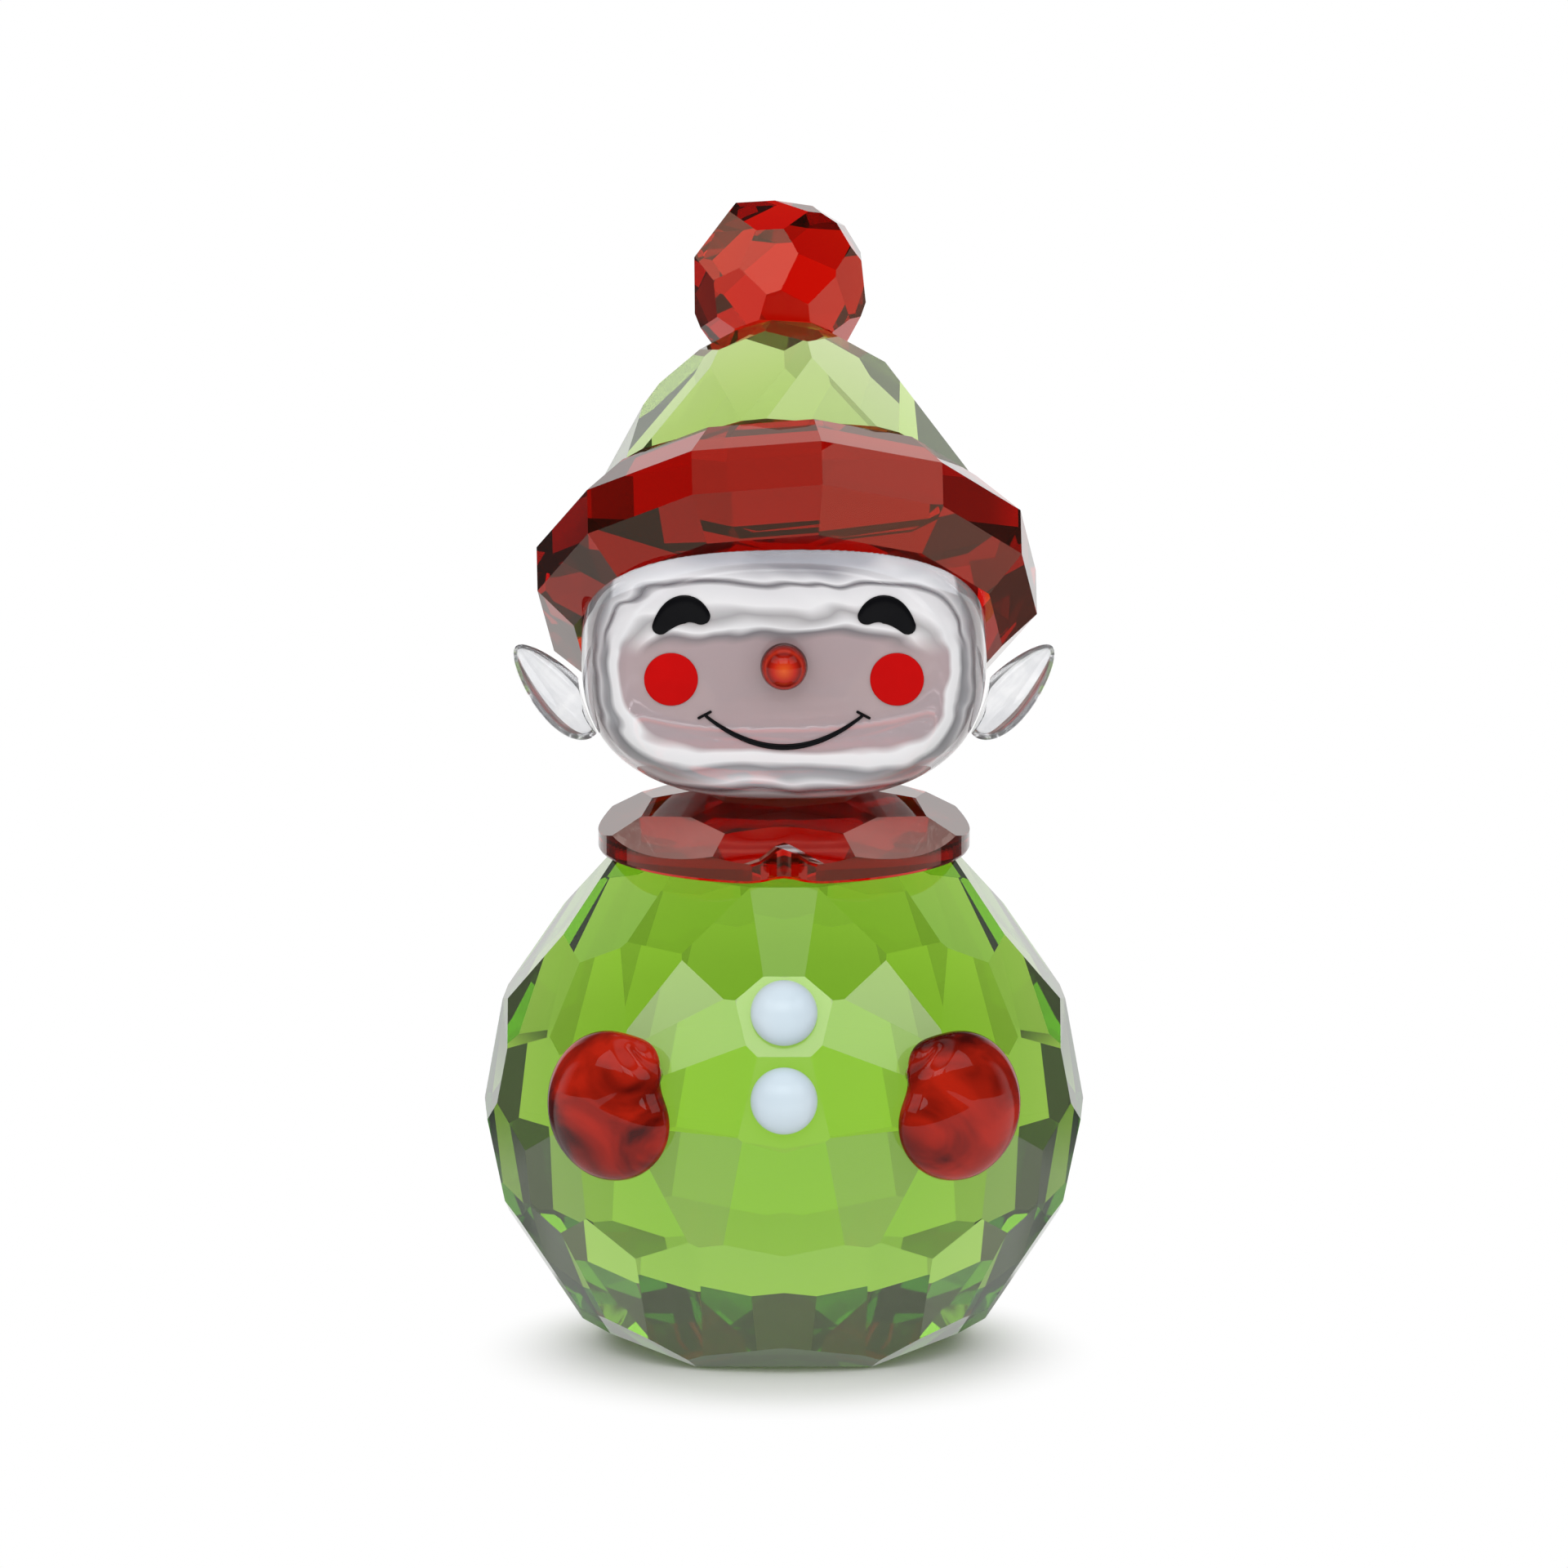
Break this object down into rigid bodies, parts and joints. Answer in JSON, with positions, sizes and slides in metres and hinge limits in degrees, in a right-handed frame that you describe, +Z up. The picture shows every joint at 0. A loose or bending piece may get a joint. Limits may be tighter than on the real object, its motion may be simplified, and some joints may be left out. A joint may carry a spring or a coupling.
{
  "type": "elf figurine",
  "caption": "Standing elf figurine of glued cut crystal: green body and hat crown, red brim, collar, mittens and bobble, clear head and ears.",
  "frame": {"origin": "middle of the flat foot that the body stands on", "axes": "+Z up, the elf looks along -Y, +X on the right of someone who faces it"},
  "size_m": [0.0412, 0.0486, 0.0758],
  "materials": {
    "green_crystal": "polished",
    "red_crystal": "polished",
    "clear_crystal": "polished",
    "black_enamel": "gloss enamel",
    "red_enamel": "satin enamel",
    "white_pearl": "satin pearl"
  },
  "bodies": {
    "root": {"body": "green_crystal", "hat_crown": "green_crystal", "hat_brim": "red_crystal", "bobble": "red_crystal", "collar": "red_crystal", "mitten_left": "red_crystal", "mitten_right": "red_crystal", "nose": "red_crystal", "head": "clear_crystal", "ear_left": "clear_crystal", "ear_right": "clear_crystal", "eye_left": "black_enamel", "eye_right": "black_enamel", "mouth": "black_enamel", "cheek_left": "red_enamel", "cheek_right": "red_enamel", "button_upper": "white_pearl", "button_lower": "white_pearl"}
  },
  "joints": []
}
